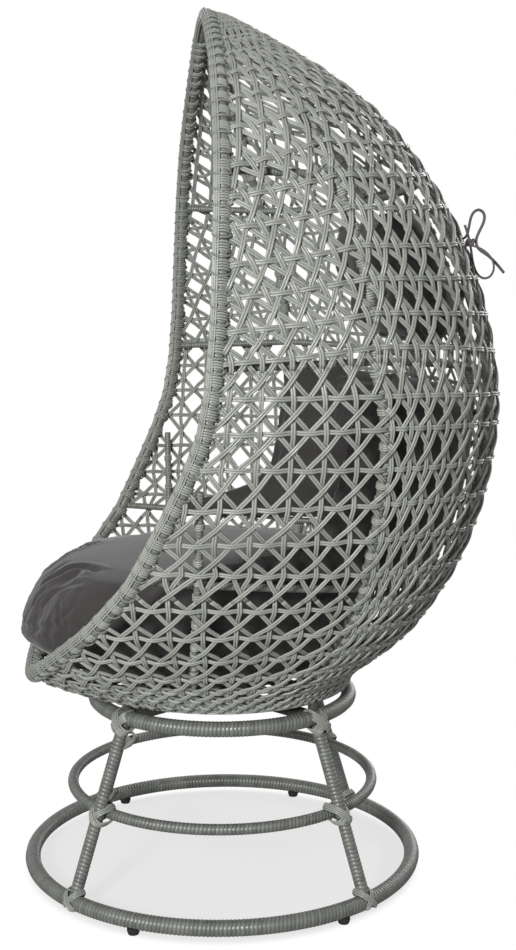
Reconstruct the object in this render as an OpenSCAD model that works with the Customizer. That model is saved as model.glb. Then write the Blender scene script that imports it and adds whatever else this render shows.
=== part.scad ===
// Standing egg chair: a cane-woven teardrop basket on a splayed four-leg ring base.
// Millimetres, +Z up, the open front faces -Y. The floor is z = 0.

/* [Base] */
// Radius of the floor ring, to the middle of its tube
floor_ring_r = 358; // [340:1:380]
// Radius of the middle ring
middle_ring_r = 281; // [277:1:284]
// Radius of the ring under the basket
top_ring_r = 237; // [232:1:240]
// Height of the floor ring's middle
floor_ring_z = 23; // [22:0.5:26]
// Height of the middle ring's middle
middle_ring_z = 163; // [155:1:170]
// Height of the top ring's middle
top_ring_z = 325; // [322:1:326]
// Outer diameter of the wrapped floor and top rings
ring_d = 28; // [24:1:30]
// Outer diameter of the wrapped middle ring
middle_ring_d = 20; // [18:1:22]
// Outer diameter of a wrapped leg
leg_d = 23; // [20:1:26]
// Diameter of the steel cross bars in the top ring
cross_d = 22; // [16:1:24]
// Turn of the base under the basket, degrees
base_turn = -6.5; // [-45:0.5:45]
// Middle of the base axis behind the frame's origin
base_y = -50.5; // [-100:0.5:-40]

/* [Feet and stubs] */
// Diameter of a glide at its foot
glide_d = 18; // [14:1:22]
// Directions of the four glides from the front, degrees
glide_angles = [60, 120, 240, 300];
// Diameter of the stubs that carry the basket
stub_d = 18; // [14:1:20]

/* [Basket frame] */
// Outer diameter of the wrapped front rim
rim_d = 25; // [22:1:28]
// Outer diameter of the spine, the rear ribs and the side ribs
rib_d = 16; // [14:1:18]
// Outer diameter of the hoops and the short front ribs
hoop_d = 13; // [11:1:14]
// Outer diameter of the seat ring
seat_ring_d = 20; // [18:1:20]
// Radius of the seat ring
seat_ring_r = 222; // [218:1:226]
// Height of the seat ring's middle
seat_ring_z = 359; // [358:0.5:360]
// Direction of a side rib from the back below seat height, degrees
side_angle_low = 61; // [55:1:65]
// Direction of a side rib from the back at head height, degrees
side_angle_high = 71; // [65:1:75]
// Direction of a rear rib from the back, degrees
rear_angle = 28; // [20:1:35]
// Fore-and-aft place of the short front ribs from the base axis
front_rib_y = -76; // [-90:1:-60]

/* [Weave] */
// Thickness of the cane skin
skin = 3; // [2.5:0.5:4]
// Share of each lattice cell that is open
hole_share = 0.84; // [0.5:0.01:0.86]
// Space between the skin's edge and the rim's middle line
rim_space = 15; // [14:0.5:18]

/* [Cushions] */
// Deepest part of the back cushion
back_pad = 110; // [60:5:120]
// Deepest part of the head cushion
head_pad = 130; // [50:5:140]
// Depth of the sewn tufts
tuft_depth = 24; // [0:1:30]
// Diameter of the tie cords
tie_d = 8; // [6:1:10]

/* [Hidden] */

wicker = [0.50, 0.52, 0.50];
wicker_dark = [0.40, 0.41, 0.40];
steel_dark = [0.20, 0.20, 0.20];
plastic_black = [0.06, 0.06, 0.06];
fabric = [0.33, 0.31, 0.31];

// The basket's outer form, from the seat ring up to the apex. Each row is one level:
// height, half width, fore-and-aft place of the widest point, depth in front of it,
// depth behind it, and the roundness of the back half (2 is an ellipse, more is squarer).
form = [
    [354, 236,   0, 236, 236, 2.0],
    [368, 252,  -5, 285, 245, 2.0],
    [387, 272,  -8, 342, 260, 2.0],
    [405, 292, -10, 375, 278, 2.1],
    [430, 318, -15, 411, 320, 2.1],
    [470, 352, -25, 445, 374, 2.2],
    [530, 395, -45, 460, 435, 2.3],
    [610, 435, -55, 460, 487, 2.4],
    [720, 475, -40, 460, 504, 2.5],
    [850, 510, -10, 460, 490, 2.5],
    [950, 520,   0, 460, 472, 2.5],
    [1060, 518,  0, 460, 446, 2.5],
    [1160, 508, -10, 450, 419, 2.5],
    [1260, 482, -20, 430, 373, 2.4],
    [1350, 418, -25, 380, 313, 2.3],
    [1420, 335, -25, 300, 236, 2.2],
    [1480, 228, -25, 200, 149, 2.1],
    [1533, 112, -25, 100,  60, 2.0],
    [1564,   6, -25,   4,   4, 2.0]
];
top_level = len(form) - 1;
front_round = 2.2;

// The rim's fore-and-aft place at each height, from the chin to the apex.
rim_line = [
    [387, -350], [405, -343], [430, -328], [470, -294], [530, -240], [610, -179],
    [660, -153], [720, -124], [780, -96], [850, -70], [930, -56], [1030, -48],
    [1180, -42], [1360, -36], [1450, -31], [1564, -25]
];

// Levels of the hoops: [at the rim, at the side rib, at the spine].
chin_level = 2;
lower = [7.03, 6.64, 6.5];
middle = [10.05, 10.13, 9.88];
upper = [12.98, 12.93, 13.04];
apex = [17.3, 17.5, 17.8];

// ---- The form's functions ----

function between(p0, p1, p2, p3, t) =
    0.5 * (2 * p1 + (p2 - p0) * t + (2 * p0 - 5 * p1 + 4 * p2 - p3) * t * t
        + (3 * p1 - p0 - 3 * p2 + p3) * t * t * t);

// The form at any level, by a smooth curve through its rows.
function level(s) =
    let (i = max(0, min(floor(s), top_level - 1)))
    between(form[max(i - 1, 0)], form[i], form[i + 1], form[min(i + 2, top_level)], s - i);

function power(base, e) = sign(base) * pow(abs(base), e);

// A point of the form: angle 0 is the back, 90 the right side, 180 the front.
function form_point(s, angle) =
    let (row = level(s), behind = cos(angle) > 0, e = 2 / (behind ? row[5] : front_round))
    [row[1] * power(sin(angle), e),
     row[2] + (behind ? row[4] : row[3]) * power(cos(angle), e),
     row[0]];

// The angle at which a level reaches a given fore-and-aft place in its front half.
function angle_at(s, y) =
    let (row = level(s), share = (row[2] - y) / row[3])
    share >= 1 ? 180
        : share >= 0 ? 90 + asin(pow(share, front_round / 2))
        : 90 - asin(pow((y - row[2]) / row[4], row[5] / 2));

function rim_angle(s) = s <= chin_level ? 180 : angle_at(s, lookup(level(s)[0], rim_line));

function unit(v) = v / norm(v);

probe_s = 0.05;
probe_angle = 1;
// The outward direction of the form's surface.
function outward(s, angle) =
    unit(cross(
        form_point(s, angle + probe_angle) - form_point(s, angle - probe_angle),
        form_point(min(s + probe_s, top_level), angle)
            - form_point(max(s - probe_s, 0), angle)) * -1);

// A point at some depth under the surface.
function under(s, angle, depth) = form_point(s, angle) - depth * outward(s, angle);

function side_angle(s) = lookup(s, [[6.5, side_angle_low], [10, side_angle_high]]);

// Level of a hoop line at an angle: it may rise or drop toward the side rib and the spine.
function hoop_level(ends, angle) =
    let (turn = abs(angle), side = side_angle(ends[1]), front = rim_angle(ends[0]))
    turn >= side ? ends[1] + (ends[0] - ends[1]) * (turn - side) / (front - side)
        : ends[2] + (ends[1] - ends[2]) * (1 - cos(180 * turn / side)) / 2;

// ---- Building blocks ----

// A round tube swept along points. Its rings stay square to the path.
function path_direction(path, i, closed) =
    let (n = len(path))
    unit(closed ? path[(i + 1) % n] - path[(i + n - 1) % n]
        : path[min(i + 1, n - 1)] - path[max(i - 1, 0)]);

module tube(path, d, sides = 8, closed = false, facing = [0.3, -1, 0.2]) {
    n = len(path);
    rings = [for (i = [0 : n - 1])
        let (along = path_direction(path, i, closed),
             a = unit(cross(along, facing)), b = cross(along, a))
        for (k = [0 : sides - 1])
            path[i] + d / 2 * (cos(360 * k / sides) * a + sin(360 * k / sides) * b)];
    spans = closed ? n : n - 1;
    walls = [for (i = [0 : spans - 1], k = [0 : sides - 1])
        let (j = (i + 1) % n, m = (k + 1) % sides)
        each [[i * sides + k, j * sides + m, i * sides + m],
              [i * sides + k, j * sides + k, j * sides + m]]];
    ends = closed ? [] : [
        [for (k = [0 : sides - 1]) k],
        [for (k = [sides - 1 : -1 : 0]) (n - 1) * sides + k]];
    polyhedron(rings, concat(walls, ends), convexity = 6);
}

// A curved skin with one diamond opening in each cell. The corner points lie on a
// grid of lines given by a function, and the skin is built inward from them.
module lattice(rows, columns, grid) {
    side = columns + 1;
    corners = [for (j = [0 : rows], i = [0 : columns]) grid(i, j, 0)];
    corners_in = [for (j = [0 : rows], i = [0 : columns]) grid(i, j, skin)];
    reach = hole_share / 2;
    tips = [[0.5, 0.5 - reach], [0.5 + reach, 0.5], [0.5, 0.5 + reach], [0.5 - reach, 0.5]];
    holes = [for (j = [0 : rows - 1], i = [0 : columns - 1], t = tips)
        grid(i + t[0], j + t[1], 0)];
    holes_in = [for (j = [0 : rows - 1], i = [0 : columns - 1], t = tips)
        grid(i + t[0], j + t[1], skin)];
    inner = len(corners);
    hole = 2 * inner;
    hole_inner = hole + len(holes);
    cells = [for (j = [0 : rows - 1], i = [0 : columns - 1])
        let (c = [j * side + i, j * side + i + 1, (j + 1) * side + i + 1, (j + 1) * side + i],
             h = hole + 4 * (j * columns + i))
        for (k = [0 : 3])
            let (c0 = c[k], c1 = c[(k + 1) % 4],
                 h0 = h + k, h1 = h + (k + 1) % 4,
                 g0 = h0 - hole + hole_inner, g1 = h1 - hole + hole_inner)
            each [[c0, c1, h0], [c1, h1, h0],
                  [c0 + inner, g0, c1 + inner], [c1 + inner, g0, g1],
                  [h0, h1, g0], [h1, g1, g0]]];
    border = concat(
        [for (i = [0 : columns - 1]) [i, i + 1]],
        [for (j = [0 : rows - 1]) [j * side + columns, (j + 1) * side + columns]],
        [for (i = [columns : -1 : 1]) [rows * side + i, rows * side + i - 1]],
        [for (j = [rows : -1 : 1]) [j * side, (j - 1) * side]]);
    edges = [for (e = border)
        each [[e[0], e[0] + inner, e[1]], [e[1], e[0] + inner, e[1] + inner]]];
    polyhedron(concat(corners, corners_in, holes, holes_in), concat(cells, edges),
        convexity = 10);
}

module place() translate([0, base_y, 0]) children();
module mirrored(flip) mirror([flip ? 1 : 0, 0, 0]) children();
module turned(angle) rotate([0, 0, angle]) children();

// ---- Base ----

module ring(radius, z, d) {
    translate([0, 0, z])
        rotate_extrude($fn = 96) translate([radius, 0]) circle(d = d, $fn = 24);
}

// A leg runs from the floor ring's top inside edge up into the top ring.
module leg(angle) {
    foot = [0, -(floor_ring_r - 5), floor_ring_z + 4];
    head = [0, -top_ring_r, top_ring_z];
    run = head - foot;
    color(wicker) place() turned(angle + base_turn) difference() {
        translate(foot) rotate([-atan2(run[1], run[2]), 0, 0])
            cylinder(h = norm(run), d = leg_d, $fn = 32);
        ring(floor_ring_r, floor_ring_z, ring_d);
        ring(top_ring_r, top_ring_z, ring_d);
    }
}

// Two crossed bars run from leg top to leg top inside the top ring.
module base_cross() {
    color(steel_dark) place() difference() {
        translate([0, 0, top_ring_z]) turned(45 + base_turn)
            for (a = [0, 90]) turned(a) rotate([0, 90, 0])
                cylinder(h = 2 * top_ring_r - ring_d, d = cross_d, center = true, $fn = 32);
        ring(top_ring_r, top_ring_z, ring_d);
    }
}

// Stubs between the top ring and the seat ring, one beside each leg top.
module basket_stubs() {
    stub_r = (top_ring_r + seat_ring_r) / 2 + 2;
    low = top_ring_z + ring_d / 4;
    color(steel_dark) place() difference() {
        for (a = [45 : 90 : 315]) turned(a + base_turn)
            translate([0, -stub_r, low])
                cylinder(h = seat_ring_z - low - 2, d = stub_d, $fn = 32);
        ring(top_ring_r, top_ring_z, ring_d);
        ring(seat_ring_r, seat_ring_z, seat_ring_d);
    }
}

// A moulded glide: a saddle that grips the ring's underside on a flat round foot.
module glide(angle) {
    saddle_h = 11;
    color(plastic_black) place() turned(angle) translate([0, -floor_ring_r, 0])
        difference() {
            union() {
                cylinder(h = 6, d1 = glide_d, d2 = glide_d + 4, $fn = 40);
                translate([0, 0, 6]) cylinder(h = saddle_h - 6, d = glide_d + 4, $fn = 40);
            }
            translate([0, floor_ring_r, 0]) ring(floor_ring_r, floor_ring_z, ring_d);
        }
}

// ---- Basket frame ----

rim_depth = 6;
rib_depth = skin + rib_d / 2 + 0.5;
front_rib_depth = skin + hoop_d / 2 + 4;
hoop_depth = skin + rib_d + hoop_d / 2 + 0.3;

module rim() {
    steps = 24;
    low = chin_level;
    high = top_level - 0.35;
    levels = [for (i = [0 : steps]) low + (high - low) * (1 - cos(180 * i / steps)) / 2];
    right = [for (i = [0 : steps])
        let (p = under(levels[i], rim_angle(levels[i]), rim_depth))
        i > 0 && i < steps ? p : [0, p[1], p[2]]];
    left = [for (i = [steps - 1 : -1 : 1]) [-right[i][0], right[i][1], right[i][2]]];
    color(wicker_dark) place() tube(concat(right, left), rim_d, 8, true);
}

// A rib's path from the seat ring up to the rim's back edge, in the direction that a
// function gives for each level.
function rib_path(direction, first, last) =
    let (steps = 22)
    [for (i = [0 : steps])
        let (s = first + (last - first) * i / steps) under(s, direction(s), rib_depth)];

module side_rib(flip) {
    color(wicker) place() mirrored(flip)
        tube(rib_path(function (s) side_angle(s), 0.45, 16.9), rib_d, 8);
}

module rear_rib(flip) {
    color(wicker) place() mirrored(flip)
        tube(rib_path(function (s) rear_angle, 0.6, 17.2), rib_d, 8, false, [1, 0, 0]);
}

module spine() {
    color(wicker) place()
        tube(rib_path(function (s) 0, 0.9, 17.5), rib_d, 8, false, [1, 0, 0]);
}

module front_rib(flip) {
    first = 0.4;
    last = 8.35;
    steps = 12;
    color(wicker) place() mirrored(flip)
        tube([for (i = [0 : steps])
            let (s = first + (last - first) * i / steps)
            under(s, angle_at(s, front_rib_y), front_rib_depth)], hoop_d, 8);
}

module hoop(ends) {
    reach = rim_angle(ends[0]) - 1;
    steps = 32;
    color(wicker) place()
        tube([for (i = [0 : steps])
            let (angle = -reach + 2 * reach * i / steps)
            under(hoop_level(ends, angle), angle, hoop_depth)], hoop_d, 8, false, [0, 0, 1]);
}

module seat_ring() {
    color(wicker_dark) place() ring(seat_ring_r, seat_ring_z, seat_ring_d);
}

// ---- Weave ----

// Levels of the lattice lines between two hoops: [at the rim, side rib, spine].
bowl_lines = [[0, 0, 0], [1.3, 1.45, 1.6], [3.2, 3.1, 3.0], [5.1, 4.9, 4.75], lower];
function even_lines(low, high, rows) =
    [for (j = [0 : rows]) low + (high - low) * j / rows];
seat_lines = even_lines(lower, middle, 4);
back_lines = even_lines(middle, upper, 4);
hood_lines = even_lines(upper, apex, 5);

// Ends of a lattice line at any row, with part rows in between.
function line_at(lines, j) =
    let (k = min(floor(j), len(lines) - 2)) lines[k] + (lines[k + 1] - lines[k]) * (j - k);

seam = 0.15;
// The skin's front edge keeps rim_space behind the rim's middle line.
function edge_angle(s) =
    let (z = level(s)[0], probe_z = 10,
         slope = (lookup(z + probe_z, rim_line) - lookup(z - probe_z, rim_line)) / (2 * probe_z))
    min(180 - seam,
        angle_at(s, lookup(z, rim_line) + rim_space * sqrt(1 + slope * slope)));

// Three sectors on each side: rim to side rib, side rib to rear rib, rear rib to spine.
// Each gives a lattice line's first and last direction.
front_sector = function (ends) [side_angle(ends[1]) + seam, edge_angle(ends[0])];
side_sector = function (ends) [rear_angle + seam, side_angle(ends[1]) - seam];
rear_sector = function (ends) [seam, rear_angle - seam];

module weave(lines, sector, columns, flip) {
    color(wicker) place() mirrored(flip)
        lattice(len(lines) - 1, columns, function (i, j, depth)
            let (ends = line_at(lines, j), span = sector(ends),
                 angle = span[0] + (span[1] - span[0]) * i / columns)
            under(hoop_level(ends, angle), angle, depth));
}

// A flat woven disc closes the basket inside the seat ring.
module weave_bottom() {
    disc_r = seat_ring_r - 7;
    pitch = 62;
    open_w = pitch * 0.66;
    cells = floor(disc_r / pitch) + 1;
    low = seat_ring_z - seat_ring_d / 2 + 0.5;
    color(wicker_dark) place() translate([0, 0, low]) linear_extrude(skin) difference() {
        circle(r = disc_r, $fn = 72);
        for (i = [-cells : cells], j = [-cells : cells])
            if (norm([i, j]) * pitch + open_w * 0.72 < disc_r - 6)
                translate([i * pitch, j * pitch]) rotate(45)
                    square(open_w, center = true);
    }
}

// ---- Cushions ----

// A closed pad made of rings of points, from one pole to the other.
module pad(rings, count, first_pole, last_pole) {
    n = len(rings);
    points = concat([first_pole], [for (r = rings) each r], [last_pole]);
    last = len(points) - 1;
    faces = concat(
        [for (k = [0 : count - 1]) [0, 1 + (k + 1) % count, 1 + k]],
        [for (i = [0 : n - 2], k = [0 : count - 1])
            let (a = 1 + i * count + k, b = 1 + i * count + (k + 1) % count)
            each [[a, b, a + count], [b, b + count, a + count]]],
        [for (k = [0 : count - 1])
            [last, 1 + (n - 1) * count + k, 1 + (n - 1) * count + (k + 1) % count]]);
    polyhedron(points, faces, convexity = 6);
}

// The seat cushion fills the bowl, swells over the front rim and has a domed, tufted
// crown. Rows: height, half width, middle, depth in front, depth behind.
seat_rows = [
    [374, 150, -10, 170, 150],
    [388, 205, -20, 240, 195],
    [415, 250, -25, 300, 235],
    [450, 285, -30, 344, 280],
    [490, 318, -35, 344, 320],
    [530, 338, -40, 324, 340],
    [560, 335, -42, 302, 332],
    [578, 292, -50, 252, 280],
    [587, 215, -60, 178, 190],
    [591, 125, -66, 96, 100]
];
seat_top = 591;
seat_bottom = 372;
dent_share = 0.035;

function seat_dent(angle, z) =
    let (height = (z - seat_bottom) / (seat_top - seat_bottom))
    1 - dent_share * (1 - pow(abs(cos(4 * angle)), 0.5)) * height;

module cushion_seat() {
    count = 48;
    rings = [for (r = seat_rows) [for (k = [0 : count - 1])
        let (angle = 360 * k / count, dent = seat_dent(angle, r[0]), behind = cos(angle) > 0)
        [r[1] * power(sin(angle), 0.92) * dent,
         r[2] + (behind ? r[4] : r[3]) * power(cos(angle), 0.92) * dent,
         r[0]]]];
    color(fabric) place()
        pad(rings, count, [0, -10, seat_bottom], [0, -66, seat_top]);
}

// Falls smoothly from 1 to 0 between two values.
function fall(x, first, last) =
    let (t = max(0, min(1, (x - first) / (last - first)))) 1 - t * t * (3 - 2 * t);

// A pad that lies against the basket's back: its thickness falls to nothing at the
// edges and at its sewn tufts. Slimmer wings may reach further round at its foot.
module wall_pad(low, high, half_angle, wing, depth, gap, across, tuft_columns, tuft_rows) {
    up = 12;
    function foot(v) = wing > 0 ? fall(v, 0.13, 0.32) : 0;
    function slim(u, v) = 1 - 0.5 * foot(v) * (1 - fall(abs(2 * u - 1), 0.55, 0.8));
    function swell(u, v) = pow((1 - pow(abs(2 * u - 1), 4)) * (1 - pow(abs(2 * v - 1), 4)), 0.5);
    function tuft(u, v) = pow(abs(sin(180 * u * tuft_columns) * sin(180 * v * tuft_rows)), 0.6);
    function place_at(u, v, d) =
        under(low + (high - low) * v, (half_angle + wing * foot(v)) * (2 * u - 1), d);
    edge = depth * 0.42;
    outer = [for (j = [0 : up], i = [0 : across])
        let (u = i / across, v = j / up)
        place_at(u, v, gap + edge * (1 - swell(u, v)))];
    inner = [for (j = [1 : up - 1], i = [1 : across - 1])
        let (u = i / across, v = j / up)
        place_at(u, v, gap + edge
            + (depth - edge - tuft_depth * (1 - tuft(u, v))) * swell(u, v) * slim(u, v))];
    row = across + 1;
    base = len(outer);
    function back_index(i, j) =
        (i == 0 || i == across || j == 0 || j == up) ? j * row + i
            : base + (j - 1) * (across - 1) + i - 1;
    faces = [for (j = [0 : up - 1], i = [0 : across - 1])
        let (a = j * row + i, b = a + 1, c = b + row, d = a + row,
             e = back_index(i, j), f = back_index(i + 1, j),
             g = back_index(i + 1, j + 1), h = back_index(i, j + 1),
             corner = (i == 0 && j == up - 1) || (i == across - 1 && j == 0))
        each corner
            ? [[a, b, d], [b, c, d], [e, h, f], [f, h, g]]
            : [[a, b, c], [a, c, d], [e, g, f], [e, h, g]]];
    polyhedron(concat(outer, inner), faces, convexity = 8);
}

wall_gap = skin + rib_d + hoop_d + 2;

module cushion_back() {
    color(fabric) place() wall_pad(6.6, 9.7, 72, 20, back_pad, wall_gap, 28, 6, 3);
}

module cushion_head() {
    color(fabric) place() wall_pad(10.4, 12.95, 27, 0, head_pad, wall_gap, 18, 3, 2);
}

// A tie wraps each rear rib and ends in a bow: a knot, two loops, two tails and the two
// ends that go in between the canes to the head cushion. Places are from the knot.
knot = [268, 390, 1151];
knot_r = 9;
bow_loop_up = [[3, 2, 12], [8, 6, 30], [10, 14, 46], [5, 22, 50], [0, 18, 32], [-3, 8, 12]];
bow_loop_side = [[2, 9, -9], [8, 24, -20], [14, 34, -40], [4, 30, -58], [-4, 18, -52], [-4, 6, -14]];
tail_out = [[6, 9, -5], [4, 26, -18], [-2, 44, -34], [-8, 60, -50]];
tail_down = [[12, 4, -10], [20, 10, -32], [20, 12, -58], [14, 8, -80]];
strap = [[-4, -10, 3], [-16, -20, 4], [-30, -34, 2], [-44, -48, -2]];

// A smooth line through a few hand-set points.
function smooth_line(points, steps) =
    let (n = len(points) - 1)
    [for (i = [0 : n - 1], t = [0 : 1 / steps : 1 - 0.5 / steps])
        between(points[max(i - 1, 0)], points[i], points[i + 1], points[min(i + 2, n)], t)];

module ribbon(points, facing) {
    tube([for (p = concat(smooth_line(points, 3), [points[len(points) - 1]])) knot + p],
        tie_d * 0.75, 6, false, facing);
}

module cushion_tie(flip) {
    color(fabric) place() mirrored(flip) {
        translate(knot) sphere(r = knot_r, $fn = 16);
        ribbon(bow_loop_up, [1, 0, 0]);
        ribbon(bow_loop_side, [1, 0, 0]);
        ribbon(tail_out, [1, 0, 0]);
        ribbon(tail_down, [0, 1, 0]);
        ribbon(strap, [0, 0, 1]);
        ribbon([for (p = strap) p + [6, -6, -12]], [0, 0, 1]);
    }
}

// ---- Nodes ----

color(wicker) place() ring(floor_ring_r, floor_ring_z, ring_d);  // base_ring_floor
color(wicker) place() ring(middle_ring_r, middle_ring_z, middle_ring_d);  // base_ring_middle
color(wicker) place() ring(top_ring_r, top_ring_z, ring_d);  // base_ring_top
leg(45);  // leg_front_right
leg(135);  // leg_rear_right
leg(225);  // leg_rear_left
leg(315);  // leg_front_left
base_cross();
basket_stubs();
glide(glide_angles[0]);  // glide_front_right
glide(glide_angles[1]);  // glide_rear_right
glide(glide_angles[2]);  // glide_rear_left
glide(glide_angles[3]);  // glide_front_left
rim();
spine();
rear_rib(false);  // rear_rib_right
rear_rib(true);  // rear_rib_left
side_rib(false);  // side_rib_right
side_rib(true);  // side_rib_left
front_rib(false);  // front_rib_right
front_rib(true);  // front_rib_left
hoop(upper);  // hoop_upper
hoop(middle);  // hoop_middle
hoop(lower);  // hoop_lower
seat_ring();
weave_bottom();
weave(bowl_lines, front_sector, 5, false);  // weave_bowl_front_right
weave(bowl_lines, side_sector, 4, false);  // weave_bowl_side_right
weave(bowl_lines, rear_sector, 3, false);  // weave_bowl_rear_right
weave(bowl_lines, rear_sector, 3, true);  // weave_bowl_rear_left
weave(bowl_lines, side_sector, 4, true);  // weave_bowl_side_left
weave(bowl_lines, front_sector, 5, true);  // weave_bowl_front_left
weave(seat_lines, front_sector, 4, false);  // weave_seat_front_right
weave(seat_lines, side_sector, 4, false);  // weave_seat_side_right
weave(seat_lines, rear_sector, 4, false);  // weave_seat_rear_right
weave(seat_lines, rear_sector, 4, true);  // weave_seat_rear_left
weave(seat_lines, side_sector, 4, true);  // weave_seat_side_left
weave(seat_lines, front_sector, 4, true);  // weave_seat_front_left
weave(back_lines, front_sector, 4, false);  // weave_back_front_right
weave(back_lines, side_sector, 4, false);  // weave_back_side_right
weave(back_lines, rear_sector, 4, false);  // weave_back_rear_right
weave(back_lines, rear_sector, 4, true);  // weave_back_rear_left
weave(back_lines, side_sector, 4, true);  // weave_back_side_left
weave(back_lines, front_sector, 4, true);  // weave_back_front_left
weave(hood_lines, front_sector, 3, false);  // weave_hood_front_right
weave(hood_lines, side_sector, 3, false);  // weave_hood_side_right
weave(hood_lines, rear_sector, 3, false);  // weave_hood_rear_right
weave(hood_lines, rear_sector, 3, true);  // weave_hood_rear_left
weave(hood_lines, side_sector, 3, true);  // weave_hood_side_left
weave(hood_lines, front_sector, 3, true);  // weave_hood_front_left
cushion_seat();
cushion_back();
cushion_head();
cushion_tie(false);  // cushion_tie_right
cushion_tie(true);  // cushion_tie_left
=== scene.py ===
# %% [markdown]
# # A standing egg chair, woven from grey cane
# A tall teardrop basket of crossing double canes stands on a ring base that is wound with
# the same cane. Inside lie a thick seat cushion, a back cushion and a head cushion, whose
# tapes come out through the weave and end in a bow. This lesson loads the rigid model as a
# frame and then dresses each part: first the camera and the tapes, then canes, windings,
# lashings and cushions, and last the floor and the light.

# %% Load the frame
import math
from functools import partial

import bmesh
import bpy
import numpy as np
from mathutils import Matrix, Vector
from mathutils.bvhtree import BVHTree
from mathutils.kdtree import KDTree


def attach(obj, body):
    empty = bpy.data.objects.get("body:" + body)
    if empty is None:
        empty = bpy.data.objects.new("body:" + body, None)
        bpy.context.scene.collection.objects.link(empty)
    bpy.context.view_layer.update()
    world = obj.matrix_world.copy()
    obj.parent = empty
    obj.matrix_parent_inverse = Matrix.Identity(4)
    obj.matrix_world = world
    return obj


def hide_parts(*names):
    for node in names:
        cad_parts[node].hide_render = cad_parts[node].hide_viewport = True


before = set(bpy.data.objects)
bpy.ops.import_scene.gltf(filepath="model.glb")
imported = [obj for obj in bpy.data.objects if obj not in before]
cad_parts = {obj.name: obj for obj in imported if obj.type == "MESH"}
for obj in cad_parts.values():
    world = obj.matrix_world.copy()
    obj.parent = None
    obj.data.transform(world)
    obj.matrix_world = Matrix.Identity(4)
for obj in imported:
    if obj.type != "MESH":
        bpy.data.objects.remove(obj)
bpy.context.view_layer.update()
MM = 0.001
rng = np.random.default_rng(11)

# %% [markdown]
# ## The camera
# The chair is seen from its right side, a little from above, with a long lens. The lens is
# given by its focal length in pixels of a 516 by 950 picture.

# %% Place the camera
PICTURE = (516, 950)
FOCAL_PX = 1402
BASE_Y = -0.0505  # the middle of the base, in metres along Y
EYE = (2.5587, -0.2286 + BASE_Y, 1.061)
HEADING = math.radians(83.4)
PITCH = math.radians(7.24)

cam_data = bpy.data.cameras.new("camera")
cam_data.sensor_fit = "VERTICAL"
cam_data.sensor_height = 24
cam_data.lens = FOCAL_PX * cam_data.sensor_height / PICTURE[1]
cam = bpy.data.objects.new("camera", cam_data)
bpy.context.scene.collection.objects.link(cam)
cam.location = EYE
looking = Vector((-math.sin(HEADING) * math.cos(PITCH), math.cos(HEADING) * math.cos(PITCH),
                  -math.sin(PITCH)))
cam.rotation_euler = looking.to_track_quat("-Z", "Y").to_euler()
bpy.context.scene.camera = cam
print("lens", round(cam_data.lens, 1), "mm")

# %% [markdown]
# ## Helpers for paths and pieces
# A few small functions are used all through the lesson: they measure and smooth a path,
# hand a finished piece to the frame, and apply modifiers.

# %% Write the helpers
def unit(v):
    return v / np.maximum(np.linalg.norm(v, axis=-1, keepdims=True), 1e-12)


def run_length(path):
    return np.concatenate([[0], np.cumsum(np.linalg.norm(np.diff(path, axis=0), axis=1))])


def resample(path, step, closed=False):
    """The same path with even steps."""
    path = np.asarray(path, float)
    if closed:
        path = np.vstack([path, path[:1]])
    run = run_length(path)
    count = max(2, int(round(run[-1] / step)))
    at = np.linspace(0, run[-1], count + 1)[: count if closed else count + 1]
    return np.stack([np.interp(at, run, path[:, k]) for k in range(3)], 1)


def between(p0, p1, p2, p3, t):
    """The place a share t of the way from p1 to p2 on a smooth curve through all four."""
    return 0.5 * (2 * p1 + (p2 - p0) * t + (2 * p0 - 5 * p1 + 4 * p2 - p3) * t * t
                  + (3 * p1 - p0 - 3 * p2 + p3) * t ** 3)


def smooth_path(points, per=6):
    """A smooth curve through a few points."""
    p = np.asarray(points, float)
    p = np.vstack([2 * p[0] - p[1], p, 2 * p[-1] - p[-2]])
    out = [between(*p[i:i + 4], t) for i in range(len(p) - 3) for t in np.arange(per) / per]
    return np.array(out + [p[-2]])


def linked(name, data):
    piece = bpy.data.objects.new(name, data)
    bpy.context.scene.collection.objects.link(piece)
    return piece


def evaluated_mesh(piece):
    """A piece's mesh with its modifiers or its curve's bevel applied."""
    graph = bpy.context.evaluated_depsgraph_get()
    return bpy.data.meshes.new_from_object(piece.evaluated_get(graph), depsgraph=graph)


def finish_piece(piece, materials, slot, *nodes):
    """Gives a piece its finish and its body, and hides the CAD nodes that it stands for."""
    piece.data.materials.clear()
    for m in materials:
        piece.data.materials.append(m)
    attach(piece, "root")
    if nodes:
        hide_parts(*nodes)
    return piece


PATH_STEP = 0.004
MIRROR = np.array([-1.0, 1, 1])
HANDS = (("right", np.ones(3)), ("left", MIRROR))
print("helpers ready")

# %% [markdown]
# ## Round canes and wound tubes
# Nearly everything here is round cane. A curve with a round bevel is the simplest way to
# get a tube along any path, so canes are drawn as curves and turned into one mesh. The
# rings of such a mesh come in order, which lets one function write a UV map in metres
# along the cane, and press the ridges of a winding into a tube.

# %% Make tubes from paths
def tube_curve(name, lines, radius, sides, closed, tint_of):
    """A bevelled curve with one spline for each line."""
    curve = bpy.data.curves.new(name, "CURVE")
    curve.dimensions = "3D"
    curve.bevel_depth = radius
    curve.bevel_resolution = (sides - 4) // 2
    for k, line in enumerate(lines):
        spline = curve.splines.new("POLY")
        spline.points.add(len(line) - 1)
        spline.points.foreach_set("co", np.column_stack([line, np.ones(len(line))]).ravel())
        spline.use_cyclic_u = closed
        spline.material_index = 0 if tint_of is None else tint_of[k]
    for _ in range(1 if tint_of is None else max(tint_of) + 1):
        curve.materials.append(None)
    return curve


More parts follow.
